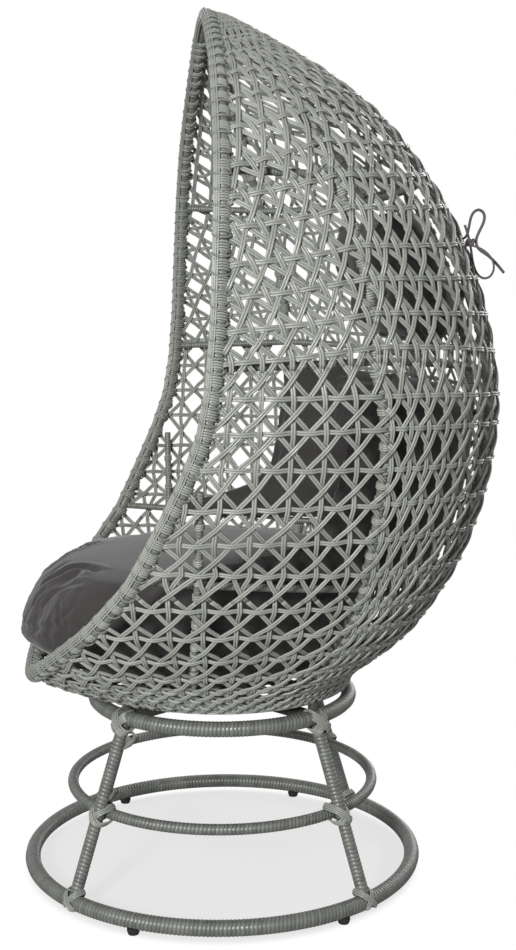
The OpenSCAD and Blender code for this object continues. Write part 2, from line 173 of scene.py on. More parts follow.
def press_winding(mesh, lines, run, sides, pitch, depth):
    """Presses helical grooves into the rings of a tube."""
    co = np.empty(3 * len(mesh.vertices))
    mesh.vertices.foreach_get("co", co)
    co = co.reshape(-1, sides, 3)
    phase = run[:, None] / pitch + np.arange(sides)[None, :] / sides
    dip = depth * (1 - abs(np.sin(np.pi * phase)) ** 0.6)
    co -= unit(co - np.concatenate(lines)[:, None, :]) * dip[..., None]
    mesh.vertices.foreach_set("co", co.ravel())


def write_uv(mesh, lines, run, sides, closed):
    """U runs along the cane in metres, and V goes once round it."""
    corners = np.empty(len(mesh.loops), int)
    mesh.loops.foreach_get("vertex_index", corners)
    ring, k = corners // sides, corners % sides
    along = run[ring].copy()
    quads_k = k.reshape(-1, 4)
    wrap = (quads_k.max(1) == sides - 1) & (quads_k.min(1) == 0)
    around = np.where(np.repeat(wrap, 4) & (k == 0), 1.0, k / sides)
    if closed:
        quads, first = ring.reshape(-1, 4), 0
        for line in lines:
            last = first + len(line) - 1
            seam = (quads == first).any(1) & (quads == last).any(1)
            length = run[last] + np.linalg.norm(line[0] - line[-1])
            along = np.where(np.repeat(seam, 4) & (ring == first), length, along)
            first = last + 1
    layer = mesh.uv_layers[0] if mesh.uv_layers else mesh.uv_layers.new(name="UVMap")
    layer.data.foreach_set("uv", np.column_stack([along, around]).ravel())


def tubes(name, lines, radius, sides=6, closed=False, ridge=None, tint_of=None):
    """One mesh of round tubes along lines. ridge = (pitch, depth) presses a winding in."""
    holder = linked(name + ".path", tube_curve(name, lines, radius, sides, closed, tint_of))
    mesh = evaluated_mesh(holder)
    mesh.name = name
    curve = holder.data
    bpy.data.objects.remove(holder)
    bpy.data.curves.remove(curve)
    run = np.concatenate([run_length(line) for line in lines])
    if ridge is not None:
        press_winding(mesh, lines, run, sides, *ridge)
    if not closed or len(lines) == 1:
        write_uv(mesh, lines, run, sides, closed)
    if not closed:
        bm = bmesh.new()
        bm.from_mesh(mesh)
        bmesh.ops.holes_fill(bm, edges=[e for e in bm.edges if e.is_boundary], sides=sides)
        bm.to_mesh(mesh)
        bm.free()
    mesh.polygons.foreach_set("use_smooth", [True] * len(mesh.polygons))
    return linked(name, mesh)


print("tube maker ready")

# %% [markdown]
# ## Finishes
# Synthetic cane is an even grey plastic with fine streaks along its length and a soft
# gloss. Where it is wound round a tube, each turn differs a little in tone, and painted
# shade darkens the grooves between the turns. The cushions are a matt cloth with a fine crossed
# thread.
# These effects are node groups, because several materials share them.

# %% Write the node helpers
def new_group(name, inputs, outputs):
    tree = bpy.data.node_groups.new(name, "ShaderNodeTree")
    for label, kind, value in inputs:
        socket = tree.interface.new_socket(label, in_out="INPUT", socket_type=kind)
        socket.default_value = value
    for label, kind in outputs:
        tree.interface.new_socket(label, in_out="OUTPUT", socket_type=kind)
    return tree, tree.nodes.new("NodeGroupInput"), tree.nodes.new("NodeGroupOutput")


def add(tree, kind, links=(), **settings):
    """A node with its settings, values and links in one line."""
    node = tree.nodes.new(kind)
    for key, value in settings.items():
        setattr(node, key, value)
    for key, value in dict(links).items():
        if hasattr(value, "is_output"):
            tree.links.new(value, node.inputs[key])
        else:
            node.inputs[key].default_value = value
    return node


def math_node(tree, operation, a, b=0.0, c=0.0):
    return add(tree, "ShaderNodeMath", {0: a, 1: b, 2: c}, operation=operation).outputs[0]


def noise(tree, vector, scale, detail):
    links = {"Vector": vector, "Scale": scale, "Detail": detail}
    return add(tree, "ShaderNodeTexNoise", links).outputs[0]


def give(tree, output, colour, factor, rough, height, distance, strength):
    """Sends an effect's colour, roughness and bump to its outputs."""
    node = add(tree, "ShaderNodeVectorMath", {0: colour, "Scale": factor}, operation="SCALE")
    tree.links.new(node.outputs[0], output.inputs["Color"])
    tree.links.new(rough, output.inputs["Roughness"])
    bump = add(tree, "ShaderNodeBump", {"Height": height, "Distance": distance,
                                        "Strength": strength})
    tree.links.new(bump.outputs[0], output.inputs["Normal"])


COLOR, FLOAT, VECTOR = "NodeSocketColor", "NodeSocketFloat", "NodeSocketVector"
EFFECT = [("Color", COLOR), ("Roughness", FLOAT), ("Normal", VECTOR)]
print("node helpers ready")

# %% Build the cane's effect
cane_group, gi, go = new_group(
    "cane_skin", [("Color", COLOR, (0.5, 0.5, 0.5, 1)), ("Streaks", FLOAT, 0.2)], EFFECT)
do = partial(math_node, cane_group)
coords = add(cane_group, "ShaderNodeTexCoord")
stretch = add(cane_group, "ShaderNodeMapping", {"Vector": coords.outputs["UV"],
                                                "Scale": (9, 7, 1)})
streak = noise(cane_group, stretch.outputs[0], 1.0, 2.0)
patch = noise(cane_group, coords.outputs["Object"], 14.0, 2.0)
mixed = do("SUBTRACT", do("MULTIPLY_ADD", patch, 0.9, streak), 0.95)
tone = do("MULTIPLY_ADD", mixed, gi.outputs["Streaks"], 1.0)
give(cane_group, go, gi.outputs["Color"], tone, do("MULTIPLY_ADD", streak, 0.22, 0.22),
     streak, 0.0004, 0.6)
print("effect:", cane_group.name)

# %% Build the winding's effect
wound_group, gi, go = new_group(
    "winding", [("Color", COLOR, (0.5, 0.5, 0.5, 1)), ("Turns per metre", FLOAT, 145.0),
                ("Groove shade", FLOAT, 0.62)], EFFECT)
do = partial(math_node, wound_group)
coords = add(wound_group, "ShaderNodeTexCoord")
split = add(wound_group, "ShaderNodeSeparateXYZ", {0: coords.outputs["UV"]})
phase = do("MULTIPLY_ADD", split.outputs[0], gi.outputs["Turns per metre"], split.outputs[1])
turn = add(wound_group, "ShaderNodeTexWhiteNoise", {"W": do("FLOOR", phase)},
           noise_dimensions="1D")
wave = do("SINE", do("MULTIPLY", do("FRACT", phase), math.pi))
groove = do("POWER", wave, 0.5)
patch = noise(wound_group, coords.outputs["Object"], 40.0, 3.0)
# Painted shade: the colour darkens in the grooves between turns, over the real pressed grooves and
# bump.
deep = do("MULTIPLY_ADD", do("SUBTRACT", groove, 1.0), gi.outputs["Groove shade"], 1.0)
vary = do("MULTIPLY_ADD", turn.outputs["Value"], 0.34, 0.7)
vary = do("MULTIPLY_ADD", patch, 0.26, vary)
give(wound_group, go, gi.outputs["Color"], do("MULTIPLY", deep, vary),
     do("MULTIPLY_ADD", patch, 0.3, 0.22), groove, 0.0008, 0.5)
print("effect:", wound_group.name)

# %% Build the cloth's effect
cloth_group, gi, go = new_group(
    "plain_cloth", [("Color", COLOR, (0.3, 0.3, 0.3, 1)), ("Threads per metre", FLOAT, 900.0),
                    ("Mottle", FLOAT, 0.2)], EFFECT)
do = partial(math_node, cloth_group)
coords = add(cloth_group, "ShaderNodeTexCoord")
split = add(cloth_group, "ShaderNodeSeparateXYZ", {0: coords.outputs["Object"]})
threads = [do("SINE", do("MULTIPLY", place, gi.outputs["Threads per metre"]))
           for place in split.outputs]
crossed = do("MULTIPLY_ADD", threads[1], threads[2], do("MULTIPLY", threads[0], threads[2]))
patch = noise(cloth_group, coords.outputs["Object"], 9.0, 4.0)
fine = noise(cloth_group, coords.outputs["Object"], 420.0, 2.0)
tone = do("MULTIPLY_ADD", do("SUBTRACT", patch, 0.5), gi.outputs["Mottle"], 0.92)
tone = do("MULTIPLY_ADD", fine, 0.16, tone)
tone = do("MULTIPLY_ADD", crossed, 0.02, tone)
give(cloth_group, go, gi.outputs["Color"], tone, do("MULTIPLY_ADD", fine, 0.2, 0.72),
     do("MULTIPLY_ADD", crossed, 0.5, fine), 0.0003, 0.5)
print("effect:", cloth_group.name)


# %% Build the materials
def material(name, group, values, **shader):
    """A Principled material fed by a shared effect."""
    m = bpy.data.materials.new(name)
    m.use_nodes = True
    tree = m.node_tree
    bsdf = tree.nodes["Principled BSDF"]
    m.diffuse_color = values["Color"]
    effect = add(tree, "ShaderNodeGroup", values, node_tree=group)
    for key, goal in (("Color", "Base Color"), ("Roughness", "Roughness"), ("Normal", "Normal")):
        tree.links.new(effect.outputs[key], bsdf.inputs[goal])
    for key, value in shader.items():
        bsdf.inputs[key.replace("_", " ")].default_value = value
    return m


def linear(*shown):
    """The colour that shows as three shares of red, green and blue on a screen."""
    return tuple(c / 12.92 if c < 0.04 else ((c + 0.055) / 1.055) ** 2.4 for c in shown) + (1,)


TINTS = {"mid": (0.565, 0.575, 0.55), "pale": (0.64, 0.65, 0.625),
         "deep": (0.48, 0.49, 0.465), "dark": (0.40, 0.41, 0.385)}
MID, PALE, DEEP, DARK = range(4)
cane_mats = [material("cane_" + tint, cane_group, {"Color": linear(*shown), "Streaks": 0.5},
                      Specular_IOR_Level=0.32) for tint, shown in TINTS.items()]
wound_pale = material("cane_wound_pale", wound_group, {"Color": linear(0.47, 0.48, 0.455),
                                                       "Turns per metre": 200.0})
wound_dark = material("cane_wound", wound_group, {"Color": linear(0.42, 0.43, 0.41)})
cloth = material("cushion_cloth", cloth_group, {"Color": linear(0.165, 0.150, 0.148)},
                 Sheen_Weight=0.2, Sheen_Roughness=0.5)
tape_cloth = material("tie_tape", cloth_group, {"Color": linear(0.34, 0.32, 0.32),
                                                "Mottle": 0.1})
steel = material("steel_coat", cloth_group, {"Color": linear(0.24, 0.24, 0.24),
                                             "Threads per metre": 300.0, "Mottle": 0.1})
plastic = material("glide_plastic", cloth_group, {"Color": linear(0.09, 0.09, 0.09),
                                                  "Threads per metre": 200.0, "Mottle": 0.3})
print("materials:", [m.name for m in bpy.data.materials])

# %% [markdown]
# ## The tapes and their bows
# Two narrow tapes are sewn to each side of the head cushion. They come out between the
# canes and are tied in a bow at the rear rib, so each tape makes one loop and one loose end.
# A tape is a soft ribbon swept along its route, and a small knot sits over the crossing.

# %% Tie the bows
KNOT = np.array([268, 390, 1151])
KNOT_SCALE, KNOT_TAPE_R = 0.0021, 0.0026
TAPE_W, TAPE_T = 0.0048, 0.0034
ROUTES = {
    "up": [[-44, -48, -2], [-30, -34, 2], [-16, -20, 4], [-5, -11, 5], [0, -6, 10], [4, -5, 21],
           [8, -4, 32], [10, -2, 43], [10, 3, 50], [9, 10, 53], [8, 17, 50], [6, 22, 42],
           [3, 20, 30], [-1, 15, 18], [-2, 10, 6], [-1, 10, -5], [1, 16, -14], [3, 28, -21],
           [-2, 44, -34], [-8, 60, -50]],
    "side": [[-38, -54, -14], [-24, -40, -10], [-10, -26, -8], [0, -12, -6], [4, 2, -6],
             [6, 14, -10], [9, 26, -18], [11, 35, -30], [10, 38, -44], [6, 33, -57],
             [2, 21, -60], [-1, 11, -50], [-2, 5, -33], [-2, 2, -14], [-3, -1, 2],
             [-4, -5, 16], [-5, -9, 28]]}


def eased(route, rounds=3):
    """The same route with its tight bends rounded off."""
    for _ in range(rounds):
        inner = (route[:-2] + 2 * route[1:-1] + route[2:]) / 4
        route = np.vstack([route[:1], inner, route[-1:]])
    return route


def signed_power(share, power):
    """A sine or cosine made fuller or flatter, with its sign kept."""
    return np.sign(share) * abs(share) ** power


def tape(name, route):
    """A soft ribbon along a route."""
    profile = bpy.data.curves.new(name + ".profile", "CURVE")
    profile.dimensions = "2D"
    outline = profile.splines.new("POLY")
    turns = np.linspace(0, 2 * math.pi, 12, endpoint=False)
    corner = [(TAPE_W / 2 * signed_power(math.cos(a), 0.5),
               TAPE_T / 2 * signed_power(math.sin(a), 0.8), 0, 1) for a in turns]
    outline.points.add(len(corner) - 1)
    outline.points.foreach_set("co", np.array(corner).ravel())
    outline.use_cyclic_u = True
    section = linked(name + ".section", profile)
    curve = tube_curve(name, [route], 0, 4, False, None)
    curve.bevel_mode = "OBJECT"
    curve.bevel_object = section
    curve.use_fill_caps = True
    holder = linked(name + ".path", curve)
    mesh = evaluated_mesh(holder)
    for extra in (holder, section):
        bpy.data.objects.remove(extra)
    mesh.polygons.foreach_set("use_smooth", [True] * len(mesh.polygons))
    return linked(name, mesh)


def knot_piece(name, centre):
    """A small lump of tape: a trefoil wound tightly round the crossing."""
    a = np.linspace(0, 2 * math.pi, 48, endpoint=False)
    path = np.column_stack([(np.sin(a) + 2 * np.sin(2 * a)), (np.cos(a) - 2 * np.cos(2 * a)),
                            -1.6 * np.sin(3 * a)]) * KNOT_SCALE
    return tubes(name, [centre + path], KNOT_TAPE_R, 8, True)


for hand, side in HANDS:
    place = KNOT * MM + [0, BASE_Y, 0]
    knot = knot_piece(f"tie_knot_{hand}", place * side)
    finish_piece(knot, [tape_cloth], "cushion_fabric")
    made = []
    for label, points in ROUTES.items():
        route = resample(smooth_path(place + np.array(points) * MM), PATH_STEP)
        route = eased(route) * side
        length = float(run_length(route)[-1])
        piece = tape(f"tie_tape_{label}_{hand}", route)
        finish_piece(piece, [tape_cloth], "cushion_fabric", f"cushion_tie_{hand}")
        made.append(round(length, 3))
    print(hand, "tapes:", made, "m")

# %% [markdown]
# ## The basket's form
# The basket has one smooth surface. Each row below is a height with its half width, the
# place and depth of its front and back half, and how square the back is. A smooth curve
# runs through the rows, so a point is found from a level and a direction: 0 degrees is
# the back, 90 the side and 180 the front.

# %% Describe the form
FORM = np.array([
    [354, 236, 0, 236, 236, 2.0], [368, 252, -5, 285, 245, 2.0],
    [387, 272, -8, 342, 260, 2.0], [405, 292, -10, 375, 278, 2.1],
    [430, 318, -15, 411, 320, 2.1], [470, 352, -25, 445, 374, 2.2],
    [530, 395, -45, 460, 435, 2.3], [610, 435, -55, 460, 487, 2.4],
    [720, 475, -40, 460, 504, 2.5], [850, 510, -10, 460, 490, 2.5],
    [950, 520, 0, 460, 472, 2.5], [1060, 518, 0, 460, 446, 2.5],
    [1160, 508, -10, 450, 419, 2.5], [1260, 482, -20, 430, 373, 2.4],
    [1350, 418, -25, 380, 313, 2.3], [1420, 335, -25, 300, 236, 2.2],
    [1480, 228, -25, 200, 149, 2.1], [1533, 112, -25, 100, 60, 2.0],
    [1564, 6, -25, 4, 4, 2.0]], float)
FRONT_ROUND = 2.2
TOP = len(FORM) - 1
CHIN = 2  # the level at which the rim crosses the front
RIM_Z = [387, 405, 430, 470, 530, 610, 660, 720, 780, 850, 930, 1030, 1180, 1360, 1450, 1564]
RIM_Y = [-350, -343, -328, -294, -240, -179, -153, -124, -96, -70, -56, -48, -42, -36, -31,
         -25]


def form_row(s):
    """The form's numbers at any level."""
    s = np.clip(np.asarray(s, float), 0, TOP)
    i = np.clip(np.floor(s).astype(int), 0, TOP - 1)
    t = (s - i)[..., None]
    return between(FORM[np.maximum(i - 1, 0)], FORM[i], FORM[i + 1],
                   FORM[np.minimum(i + 2, TOP)], t)


def form_point(s, angle):
    """A point of the surface, in metres."""
    row, a = form_row(s), np.radians(angle)
    c, w = np.cos(a), np.sin(a)
    e = 2 / np.where(c > 0, row[..., 5], FRONT_ROUND)
    x = row[..., 1] * np.sign(w) * abs(w) ** e
    y = row[..., 2] + np.where(c > 0, row[..., 4], row[..., 3]) * np.sign(c) * abs(c) ** e
    return np.stack([x, y, row[..., 0]], -1) * MM + [0, BASE_Y, 0]


def outward(s, angle):
    """The direction straight out of the surface."""
    s, angle = np.asarray(s, float), np.asarray(angle, float)
    around = form_point(s, angle + 1) - form_point(s, angle - 1)
    up = form_point(np.minimum(s + 0.05, TOP), angle) - form_point(np.maximum(s - 0.05, 0), angle)
    return unit(-np.cross(around, up))


def under(s, angle, depth):
    """A point at a depth in metres below the surface."""
    return form_point(s, angle) - np.asarray(depth, float)[..., None] * outward(s, angle)


def angle_at(s, y):
    """The direction in which a level reaches a fore-and-aft place."""
    row = form_row(s)
    share = (row[..., 2] - y) / row[..., 3]
    ahead = 90 + np.degrees(np.arcsin(np.clip(share, 0, 1) ** (FRONT_ROUND / 2)))
    back = np.clip((y - row[..., 2]) / row[..., 4], 0, 1) ** (row[..., 5] / 2)
    return np.where(share >= 1, 180, np.where(share >= 0, ahead, 90 - np.degrees(np.arcsin(back))))


print("apex at", form_point(TOP, 0).round(3))

# %% Find the rim, the ribs and the hoops on it
REAR_ANGLE = 28.0
SIDE_LEVELS, SIDE_ANGLES = (6.5, 10), (61, 71)  # the side rib turns forward as it rises
EDGE_BEHIND = 9  # millimetres
CLOSED_TO = 1.95  # the level up to which the weave goes all round


def rim_angle(s):
    s = np.asarray(s, float)
    y = np.interp(form_row(s)[..., 0], RIM_Z, RIM_Y)
    return np.where(s <= CHIN, 180, angle_at(s, y))


def edge_angle(s):
    """The weave ends a little behind the rim's middle line."""
    z = form_row(s)[..., 0]
    slope = (np.interp(z + 10, RIM_Z, RIM_Y) - np.interp(z - 10, RIM_Z, RIM_Y)) / 20
    return np.where(np.asarray(s) <= CLOSED_TO, 180.0,
                    angle_at(s, np.interp(z, RIM_Z, RIM_Y)
                             + EDGE_BEHIND * np.sqrt(1 + slope ** 2)))


def side_angle(s):
    return np.interp(s, SIDE_LEVELS, SIDE_ANGLES)


def hoop_level(ends, angle):
    """A line's level in any direction, from its levels at the rim, side rib and spine."""
    ends, turn = np.asarray(ends, float), abs(np.asarray(angle, float))
    side, front = side_angle(ends[..., 1]), rim_angle(ends[..., 0])
    ahead = ends[..., 1] + (ends[..., 0] - ends[..., 1]) * (turn - side) / (front - side)
    behind = ends[..., 2] + (ends[..., 1] - ends[..., 2]) * (1 - np.cos(np.pi * turn / side)) / 2
    return np.where(turn >= side, ahead, behind)


print("rim directions:", rim_angle(np.array([3.0, 7, 12])).round(1))

# %% [markdown]
# ## The weave
# Four families of double cane make the pattern: uprights, rows, and two sets of
# diagonals. Uprights and rows cross at the corners of the cells, and the diagonals cross
# each other on the middle of every row and every upright, so that each cell keeps a
# diamond opening. The rows are listed by their levels at the rim, the side rib and the
# rear rib, and the columns are counted toward the front. Heights over the surface follow a
# cosine, so that canes pass over and under.

# %% Lay out the rows
ROWS = [
    [0.05, 0.05, 0.05], [0.9, 0.9, 0.9], [1.9, 1.9, 1.9], [3.0, 3.1, 2.95],
    [4.15, 4.2, 3.95], [5.1, 5.1, 4.8], [5.92, 5.82, 5.6], [6.64, 6.45, 6.32],
    [7.31, 7.12, 6.98], [7.71, 7.68, 7.6], [8.16, 8.17, 8.1], [8.65, 8.59, 8.54],
    [9.07, 9.11, 9.02], [9.61, 9.62, 9.5], [10.11, 10.34, 10.22], [10.52, 10.79, 10.75],
    [10.96, 11.28, 11.31], [11.43, 11.77, 11.86], [11.98, 12.33, 12.46],
    [12.42, 12.81, 12.98], [12.87, 13.36, 13.5], [13.5, 13.9, 14.03],
    [14.07, 14.45, 14.56], [14.68, 15.0, 15.08], [15.25, 15.6, 15.66], [15.82, 16.1, 16.15],
    [16.3, 16.5, 16.55], [16.75, 16.87, 16.9], [17.1, 17.2, 17.22]]
MEAN_SIDE_ANGLE = sum(SIDE_ANGLES) / 2
SIDE_SHARE = (1 - math.cos(math.pi * REAR_ANGLE / MEAN_SIDE_ANGLE)) / 2
LINES = np.array([[rim, side, (rear - SIDE_SHARE * side) / (1 - SIDE_SHARE)]
                  for rim, side, rear in ROWS])
LAST_ROW = len(LINES) - 1


def line_ends(j):
    """Levels of any lattice line, with part rows in between."""
    j = np.clip(np.asarray(j, float), 0, LAST_ROW)
    k = np.minimum(np.floor(j).astype(int), LAST_ROW - 1)
    return LINES[k] + (LINES[k + 1] - LINES[k]) * (j - k)[..., None]


def row_number(side_level):
    """The lattice line that meets the side rib at a level."""
    return float(np.interp(side_level, LINES[:, 1], np.arange(len(LINES))))


print("rows:", len(LINES))

# %% Spread the columns
# Each line of the lattice counts its columns toward the front, where the middle has count
# CENTRE_COUNT. The lists give, from line FIRST_COUNTED up, the count at the front edge and
# at the side rib, and how many columns lie between the side rib and the rear rib. Where the
# count at the edge falls, uprights end at the rim. On the middle lines the first cell on
# each side of the side rib is a little wider, and behind it the cells widen toward the rear
# rib. From there to the spine come REAR_SHARE times the columns of the side.
EDGE_COUNTS = [6.95, 6.43, 6.12, 5.6, 5.4, 5.32, 5.3, 4.9, 4.37, 3.88, 3.17, 2.6, 1.82, 0.9, 0.0,
               -0.9, -2.0, -3.0, -4.0, -5.0, -6.0]
RIB_COUNTS = [0.17, 0.13, 0.13, 0.1, 0.1, 0.13, -0.02, -0.3, -0.76, -1.17, -1.45, -1.85, -2.2,
              -2.8, -3.6, -4.5, -5.5, -6.3, -7.2, -8.2, -9.2]
SIDE_COLUMNS = [6.65, 6.65, 6.65, 6.65, 6.65, 6.65, 6.65, 6.65, 6.65, 6.6, 6.0, 5.4, 5.2, 4.9,
                4.6, 4.4, 4.2, 4.2, 4.2, 4.2, 4.2]
FIRST_COUNTED = 8
CENTRE_COUNT = 17.5
WIDER_AHEAD, WIDER_BEHIND, WIDENING = 0.15, 0.03, 0.42
REAR_SHARE = 0.6
STEP_J, STEP_Q = 0.125, 0.25
GRID_J = np.arange(0, LAST_ROW + 0.01, STEP_J)
GRID_Q = np.arange(-18, CENTRE_COUNT + 1.01, STEP_Q)


def column_table():
    """The direction of each column on each line, and the counts at the panels' borders."""
    counted = np.arange(FIRST_COUNTED, FIRST_COUNTED + len(EDGE_COUNTS))
    table, borders = [], []
    for j in GRID_J:
        ends = line_ends(j)
        side = float(side_angle(ends[1]))

        def run_to(first, last):
            angle = np.linspace(first, last, 181)
            return angle, run_length(form_point(hoop_level(np.tile(ends, (181, 1)), angle),
                                                angle))

        rib = np.interp(j, counted, RIB_COUNTS)
        angle, run = run_to(side, 180)
        edge_run = np.interp(float(edge_angle(ends[0])), angle, run)
        room = np.interp(j, [8, 9.5, 13, 14], [0, 1, 1, 0])
        high = edge_run / (np.interp(j, counted, EDGE_COUNTS) - rib + WIDER_AHEAD * room)
        blend = np.clip(j - FIRST_COUNTED + 1, 0, 1)
        pitch = run[-1] / (CENTRE_COUNT - rib) * (1 - blend) + high * blend
        ahead = GRID_Q - rib
        ahead = np.interp((ahead + WIDER_AHEAD * room * np.clip(ahead, 0, 1)) * pitch, run, angle)
        columns = np.interp(j, counted, SIDE_COLUMNS)
        angle, run = run_to(side, REAR_ANGLE)
        x = np.clip((rib - GRID_Q) / columns, 0, 1)
        beside = WIDER_BEHIND * room * np.clip(25 * x, 0, 1) * (1 - x)
        share = (1 - WIDENING) * x + WIDENING * x * x + beside
        behind = np.interp(share * run[-1], run, angle)
        rear = rib - columns
        low = REAR_SHARE * columns
        last = REAR_ANGLE * (1 - np.clip((rear - GRID_Q) / low, 0, 1))
        table.append(np.where(GRID_Q >= rib, ahead, np.where(GRID_Q >= rear, behind, last)))
        borders.append([rear - low, rear, rib, rib - WIDER_AHEAD * room + edge_run / pitch])
    return np.array(table), np.array(borders)


COLUMNS, BORDERS = column_table()
SECTORS = {"front": 2, "side": 1, "rear": 0}


def borders_at(sector, j):
    """The counts at a sector's rear and front border on a line."""
    n = SECTORS[sector]
    return [np.interp(j, GRID_J, BORDERS[:, k]) for k in (n, n + 1)]


def weave_point(q, j, lift):
    """A point of the lattice and the outward direction there: q counts columns, j lines."""
    y = np.clip(j / STEP_J, 0, len(GRID_J) - 1.001)
    x = np.clip((q - GRID_Q[0]) / STEP_Q, 0, len(GRID_Q) - 1.001)
    m, n = y.astype(int), x.astype(int)
    y, x = y - m, x - n
    angle = ((COLUMNS[m, n] * (1 - x) + COLUMNS[m, n + 1] * x) * (1 - y)
             + (COLUMNS[m + 1, n] * (1 - x) + COLUMNS[m + 1, n + 1] * x) * y)
    level = hoop_level(line_ends(j), angle)
    out = outward(level, angle)
    return form_point(level, angle) + lift[:, None] * out, out


print("columns from the rib to the edge at the bottom, seat and head:",
      np.diff(borders_at("front", np.array([0.0, 7, 14])), axis=0).round(1))

# %% Lay the canes of one panel
CANE_R = 0.0021
HALF_GAP = CANE_R * 0.93  # from the middle of a strand to each of its two canes
LIFT = 0.0040  # between the middles of two canes where they cross
SKIN_MID = -0.0012
PER_CELL, FINE = 8, 32  # points kept and points tried in each cell
SHORTEST = 0.04  # cells: a shorter stretch of cane is left out
WANDER = 0.00014


def stretches(sector, q, j, bottom, top):
    """Where a finely sampled line enters and leaves the panel, to a part of a sample."""
    rear, front = borders_at(sector, j)
    room = np.min([j - bottom, top - j, q - rear, front - q], axis=0) + 1e-9
    found, n = [], 0
    while n < len(room):
        if room[n] < 0:
            n += 1
            continue
        m = n
        while m + 1 < len(room) and room[m + 1] >= 0:
            m += 1
        first = n - (room[n] / (room[n] - room[n - 1]) if n else 0)
        last = m + (room[m] / (room[m] - room[m + 1]) if m + 1 < len(room) else 0)
        if last - first > FINE * SHORTEST:
            found.append((first, last))
        n = m + 1
    return found


def panel_strands(sector, bottom, top, swap):
    """All canes of one panel: its family and number, points and outward directions."""
    strands = []
    rear, front = borders_at(sector, np.linspace(bottom, top, 41))
    low, high = math.floor(rear.min()), math.ceil(front.max())

    def take(key, q, j, lift):
        for first, last in stretches(sector, q, j, bottom, top):
            count = max(4, int(round((last - first) / FINE * PER_CELL)) + 1)
            at = np.linspace(first, last, count)
            qq, jj = np.interp(at, np.arange(len(q)), q), np.interp(at, np.arange(len(j)), j)
            strands.append((key,) + weave_point(qq, jj, LIFT * lift(qq, jj) + SKIN_MID))

    j = np.linspace(bottom, top, int((top - bottom) * FINE) + 2)
    for column in range(low, high + 1):
        take(column, np.full(len(j), float(column)), j,
             lambda q, j: -0.25 + 0.75 * np.cos(2 * np.pi * j))
    q = np.linspace(low, high, (high - low) * FINE + 1)
    for row in range(max(1, math.ceil(bottom)), math.floor(top) + 1):
        take(100 + row, q, np.full(len(q), float(row)),
             lambda q, j: 0.25 - 0.75 * np.cos(2 * np.pi * q))
    for lean in (1, -1):
        height = 0.5 if (lean == -1) != swap else -0.5
        ends = [-lean * low, -lean * high]
        for start in range(math.floor(bottom) + min(ends) - 1, math.ceil(top) + max(ends) + 1):
            take(200 + lean * 60 + start, q, start + 0.5 + lean * q,
                 lambda q, j: height + 0.5 * np.cos(2 * np.pi * q))
    return strands


def double_cane(points, out):
    """Two canes side by side along a strand, slightly uneven as in handwork."""
    across = unit(np.cross(unit(np.gradient(points, axis=0)), out))
    wander = np.cumsum(rng.normal(0, WANDER, len(points)))
    wander = (wander - wander.mean()) * np.sin(np.linspace(0, math.pi, len(points)))
    return [points + across * (wander[:, None] + side * HALF_GAP) for side in (-1, 1)]


def weave_panel(level, sector, hand, side, bottom, top):
    """One panel as a piece that stands for its CAD node."""
    node = f"weave_{level}_{sector}_{hand}"
    lines, tint_of = [], [DEEP]
    for key, points, out in panel_strands(sector, bottom, top, hand == "left"):
        lines += double_cane(points * side, out * side)
        tint_of += [(key * 7 + key // 3) % 3, (key * 5 + key // 2) % 3]
    piece = tubes("cane_" + node[6:], lines, CANE_R, tint_of=tint_of[:len(lines)])
    finish_piece(piece, cane_mats, "wicker", node)
    return sum(run_length(line)[-1] for line in lines), len(piece.data.polygons)


print("strands ready")

# %% Weave the panels
LOWER, MIDDLE, UPPER = row_number(6.64), row_number(10.13), row_number(12.93)
total = []
for level, bottom, top in (("bowl", 0.0, LOWER), ("seat", LOWER, MIDDLE),
                           ("back", MIDDLE, UPPER), ("hood", UPPER, float(LAST_ROW))):
    for sector in SECTORS:
        for hand, side in HANDS:
            total.append(weave_panel(level, sector, hand, side, bottom, top))
print("cane in the panels:", round(sum(t[0] for t in total)), "m,",
      sum(t[1] for t in total), "faces")

# %% [markdown]
# ## Wound frame tubes
# The steel frame is wound closely with cane, so each tube has fine ridges across it. The
# winding is pressed into the tube's own mesh. The base is wound with a broader strip, at
# about seven millimetres a turn, and the basket's tubes with single canes.

# %% Wind the base
STRIP, FINE_TURN, TURN_R = 1 / 145.0, 1 / 200.0, 0.00175
STRIP_GROOVE, FINE_GROOVE = 0.0011, 0.0008
BASE_TURN = -6.5
LEG_FOOT, LEG_HEAD, LEG_R = (0.354, 0.030), (0.237, 0.322), 0.0115
LEGS = {"front_right": 45, "rear_right": 135, "rear_left": 225, "front_left": 315}


def wound_tube(name, path, radius, node, closed=False, pitch=STRIP, slot="wicker"):
    """A tube with its winding, in place of its CAD node."""
    sides, per_turn = (12, 4) if radius > 0.009 else (8, 3)
    groove, coat = ((STRIP_GROOVE, wound_dark) if pitch == STRIP
                    else (FINE_GROOVE, wound_pale))
    path = resample(path, pitch / per_turn, closed)
    piece = tubes(name, [path], radius, sides, closed, (pitch, groove))
    return finish_piece(piece, [coat], slot, node)


def ring_path(radius, z, count=1200):
    a = np.linspace(0, 2 * math.pi, count, endpoint=False)
    return np.column_stack([radius * np.cos(a), radius * np.sin(a) + BASE_Y, np.full(count, z)])


def base_point(angle, radius, z):
    """A point of the turned base: 0 degrees is the front, 90 the right side."""
    a = math.radians(angle + BASE_TURN)
    return np.array([radius * math.sin(a), -radius * math.cos(a) + BASE_Y, z])


RINGS = {"base_ring_floor": (0.358, 0.023, 0.014), "base_ring_middle": (0.281, 0.163, 0.010),
         "base_ring_top": (0.237, 0.325, 0.014), "seat_ring": (0.222, 0.359, 0.010)}
for node, (radius, z, thick) in RINGS.items():
    wound_tube("wound_" + node, ring_path(radius, z), thick, node, closed=True,
               slot="wicker_dark" if node == "seat_ring" else "wicker")
for name, angle in LEGS.items():
    foot, head = base_point(angle, *LEG_FOOT), base_point(angle, *LEG_HEAD)
    wound_tube("wound_leg_" + name, np.linspace(foot, head, 40), LEG_R, "leg_" + name)
print("rings and legs wound")

